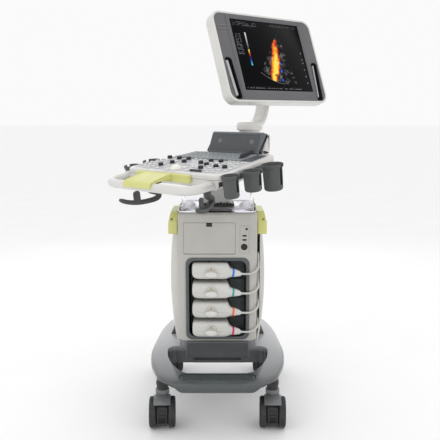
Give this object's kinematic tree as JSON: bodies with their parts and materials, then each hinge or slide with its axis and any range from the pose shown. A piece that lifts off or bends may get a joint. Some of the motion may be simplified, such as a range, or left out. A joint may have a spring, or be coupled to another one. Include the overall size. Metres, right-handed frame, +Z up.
{
  "type": "ultrasound machine",
  "caption": "Trolley-mounted medical ultrasound scanner: lifting, swivelling control console with probe cups, arm-mounted tilting display, plugged probe connectors and braked casters.",
  "frame": {"origin": "on the floor, under the middle of the whole machine's footprint box (monitor and console included)", "axes": "+Z up; the operator stands on the -Y side, which the tower front and the foot bar face; +X is to the operator's right"},
  "size_m": [0.8632, 0.8242, 1.4979],
  "materials": {
    "white_plastic": "satin warm-white moulded plastic",
    "beige_plastic": "satin warm light-grey moulded plastic",
    "light_plastic": "satin light-grey moulded plastic with a coloured ring",
    "base_alloy": "cast aluminium, glossy grey paint",
    "dark_plastic": "dark grey moulded plastic, fine texture",
    "bay_plastic": "near-black moulded plastic, fine texture",
    "tread_rubber": "ribbed dark rubber",
    "wheel_tyre": "black polyurethane tread with dark hub",
    "caster_grey": "grey glass-filled plastic",
    "lime_plastic": "satin yellow-green moulded plastic",
    "clear_plastic": "clear moulded plastic, slightly tinted",
    "steel": "zinc-plated sheet steel",
    "rack_alloy": "aluminium card cage",
    "column_alloy": "extruded aluminium, satin white paint",
    "cable_jacket": "light grey soft cable jacket",
    "cream_ball": "polished cream phenolic ball",
    "key_plastic": "dark grey-green keys, fine texture",
    "bezel_grey": "dark grey moulded plastic",
    "screen_glass": "black coated display panel"
  },
  "bodies": {
    "chassis": {"base_casting": "base_alloy", "footrest_tread": "tread_rubber", "base_apron": "dark_plastic", "chassis_frame": "steel", "tower_front_cover": "beige_plastic", "tower_rear_cover": "white_plastic", "io_panel": "beige_plastic", "connector_bay": "bay_plastic", "electronics_rack": "rack_alloy", "storage_tray": "clear_plastic", "side_handle_left": "lime_plastic", "side_handle_right": "lime_plastic", "column_sleeve": "dark_plastic", "probe_connector_1": "light_plastic", "probe_connector_2": "light_plastic", "probe_connector_3": "light_plastic", "probe_connector_4": "light_plastic", "probe_cable_1": "cable_jacket", "probe_cable_2": "cable_jacket", "probe_cable_3": "cable_jacket", "probe_cable_4": "cable_jacket"},
    "module_door": {"module_door": "beige_plastic"},
    "door_latch": {"door_latch": "dark_plastic"},
    "lift_column": {"lift_column": "column_alloy"},
    "console": {"console_lower_shell": "white_plastic", "console_top_cover": "white_plastic", "front_handle": "white_plastic", "handle_bridge": "lime_plastic", "keyboard": "key_plastic", "speaker_box": "bezel_grey", "cup_right_front": "dark_plastic", "cup_right_middle": "dark_plastic", "cup_right_rear": "dark_plastic", "cup_left_front": "dark_plastic", "cup_left_rear": "dark_plastic", "cable_hook_left": "dark_plastic", "cable_hook_right": "dark_plastic"},
    "release_lever": {"release_lever": "dark_plastic"},
    "trackball": {"trackball": "cream_ball"},
    "monitor_arm": {"monitor_arm": "white_plastic"},
    "monitor_knuckle": {"monitor_knuckle": "dark_plastic"},
    "monitor": {"monitor_rear_shell": "white_plastic", "monitor_bezel": "bezel_grey", "monitor_screen": "screen_glass"},
    "connector_lock_1": {"connector_lock_1": "light_plastic"},
    "connector_lock_2": {"connector_lock_2": "light_plastic"},
    "connector_lock_3": {"connector_lock_3": "light_plastic"},
    "connector_lock_4": {"connector_lock_4": "light_plastic"},
    "caster_front_left": {"caster_front_left_yoke": "caster_grey"},
    "caster_front_left_wheels": {"caster_front_left_wheels": "wheel_tyre"},
    "caster_front_left_pedal": {"caster_front_left_pedal": "dark_plastic"},
    "caster_front_right": {"caster_front_right_yoke": "caster_grey"},
    "caster_front_right_wheels": {"caster_front_right_wheels": "wheel_tyre"},
    "caster_front_right_pedal": {"caster_front_right_pedal": "dark_plastic"},
    "caster_rear_left": {"caster_rear_left_yoke": "caster_grey"},
    "caster_rear_left_wheels": {"caster_rear_left_wheels": "wheel_tyre"},
    "caster_rear_left_pedal": {"caster_rear_left_pedal": "dark_plastic"},
    "caster_rear_right": {"caster_rear_right_yoke": "caster_grey"},
    "caster_rear_right_wheels": {"caster_rear_right_wheels": "wheel_tyre"},
    "caster_rear_right_pedal": {"caster_rear_right_pedal": "dark_plastic"}
  },
  "joints": [
    {"name": "door_hinge", "type": "hinge", "parent": "chassis", "child": "module_door", "pos_m": [-0.0235, -0.1942, 0.613], "axis": [1, 0, 0], "range_deg": [0, 85]},
    {"name": "latch_slide", "type": "slide", "parent": "module_door", "child": "door_latch", "axis": [0, 0, -1], "range_m": [0, 0.004], "stiffness_N_per_m": 150, "springref_m": -0.001},
    {"name": "lock_turn_1", "type": "hinge", "parent": "chassis", "child": "connector_lock_1", "pos_m": [-0.0465, -0.218, 0.5475], "axis": [0, -1, 0], "range_deg": [0, 90]},
    {"name": "lock_turn_2", "type": "hinge", "parent": "chassis", "child": "connector_lock_2", "pos_m": [-0.0465, -0.218, 0.4745], "axis": [0, -1, 0], "range_deg": [0, 90]},
    {"name": "lock_turn_3", "type": "hinge", "parent": "chassis", "child": "connector_lock_3", "pos_m": [-0.0465, -0.218, 0.4015], "axis": [0, -1, 0], "range_deg": [0, 90]},
    {"name": "lock_turn_4", "type": "hinge", "parent": "chassis", "child": "connector_lock_4", "pos_m": [-0.0465, -0.218, 0.3285], "axis": [0, -1, 0], "range_deg": [0, 90]},
    {"name": "caster_front_left_swivel", "type": "hinge", "parent": "chassis", "child": "caster_front_left", "pos_m": [-0.2225, -0.2765, 0.15], "axis": [0, 0, 1], "continuous": true},
    {"name": "caster_front_left_roll", "type": "hinge", "parent": "caster_front_left", "child": "caster_front_left_wheels", "pos_m": [-0.22114, -0.30246, 0.055], "axis": [0.9986, 0.0523, 0], "continuous": true},
    {"name": "caster_front_left_brake", "type": "hinge", "parent": "caster_front_left", "child": "caster_front_left_pedal", "pos_m": [-0.21897, -0.34381, 0.0827], "axis": [-0.9986, -0.0523, 0], "range_deg": [0, 15]},
    {"name": "caster_front_right_swivel", "type": "hinge", "parent": "chassis", "child": "caster_front_right", "pos_m": [0.1755, -0.2765, 0.15], "axis": [0, 0, 1], "continuous": true},
    {"name": "caster_front_right_roll", "type": "hinge", "parent": "caster_front_right", "child": "caster_front_right_wheels", "pos_m": [0.17414, -0.30246, 0.055], "axis": [0.9986, -0.0523, 0], "continuous": true},
    {"name": "caster_front_right_brake", "type": "hinge", "parent": "caster_front_right", "child": "caster_front_right_pedal", "pos_m": [0.17197, -0.34381, 0.0827], "axis": [-0.9986, 0.0523, 0], "range_deg": [0, 15]},
    {"name": "caster_rear_left_swivel", "type": "hinge", "parent": "chassis", "child": "caster_rear_left", "pos_m": [-0.2225, 0.169, 0.15], "axis": [0, 0, 1], "continuous": true},
    {"name": "caster_rear_left_roll", "type": "hinge", "parent": "caster_rear_left", "child": "caster_rear_left_wheels", "pos_m": [-0.22791, 0.19443, 0.055], "axis": [0.9781, 0.2079, 0], "continuous": true},
    {"name": "caster_rear_left_brake", "type": "hinge", "parent": "caster_rear_left", "child": "caster_rear_left_pedal", "pos_m": [-0.23651, 0.23493, 0.0827], "axis": [0.9781, 0.2079, 0], "range_deg": [0, 15]},
    {"name": "caster_rear_right_swivel", "type": "hinge", "parent": "chassis", "child": "caster_rear_right", "pos_m": [0.1755, 0.169, 0.15], "axis": [0, 0, 1], "continuous": true},
    {"name": "caster_rear_right_roll", "type": "hinge", "parent": "caster_rear_right", "child": "caster_rear_right_wheels", "pos_m": [0.18002, 0.19461, 0.055], "axis": [0.9848, -0.1736, 0], "continuous": true},
    {"name": "caster_rear_right_brake", "type": "hinge", "parent": "caster_rear_right", "child": "caster_rear_right_pedal", "pos_m": [0.1872, 0.23538, 0.0827], "axis": [0.9848, -0.1736, 0], "range_deg": [0, 15]},
    {"name": "lift", "type": "slide", "parent": "chassis", "child": "lift_column", "axis": [0, 0, 1], "range_m": [0, 0.15]},
    {"name": "console_swivel", "type": "hinge", "parent": "lift_column", "child": "console", "pos_m": [-0.0235, -0.011, 0.85], "axis": [0, 0, 1], "range_deg": [-2, 88]},
    {"name": "release_lever_pull", "type": "hinge", "parent": "console", "child": "release_lever", "pos_m": [-0.25228, -0.1703, 0.87267], "axis": [-0.7325, 0.6807, 0], "range_deg": [0, 10], "stiffness_Nm_per_rad": 0.8, "springref_deg": -2.86},
    {"name": "trackball_spin", "type": "hinge", "parent": "console", "child": "trackball", "pos_m": [-0.17294, -0.14001, 0.90487], "axis": [0.7325, -0.6807, 0], "continuous": true},
    {"name": "arm_swing", "type": "hinge", "parent": "console", "child": "monitor_arm", "pos_m": [0.1037, 0.1283, 1.06], "axis": [0, 0, 1], "range_deg": [-60, 60]},
    {"name": "head_swivel", "type": "hinge", "parent": "monitor_arm", "child": "monitor_knuckle", "pos_m": [0.1655, 0.234, 1.235], "axis": [0, 0, 1], "range_deg": [-40, 40]},
    {"name": "head_tilt", "type": "hinge", "parent": "monitor_knuckle", "child": "monitor", "pos_m": [0.1655, 0.234, 1.262], "axis": [0.788, 0.6157, 0], "range_deg": [-20, 6]}
  ]
}
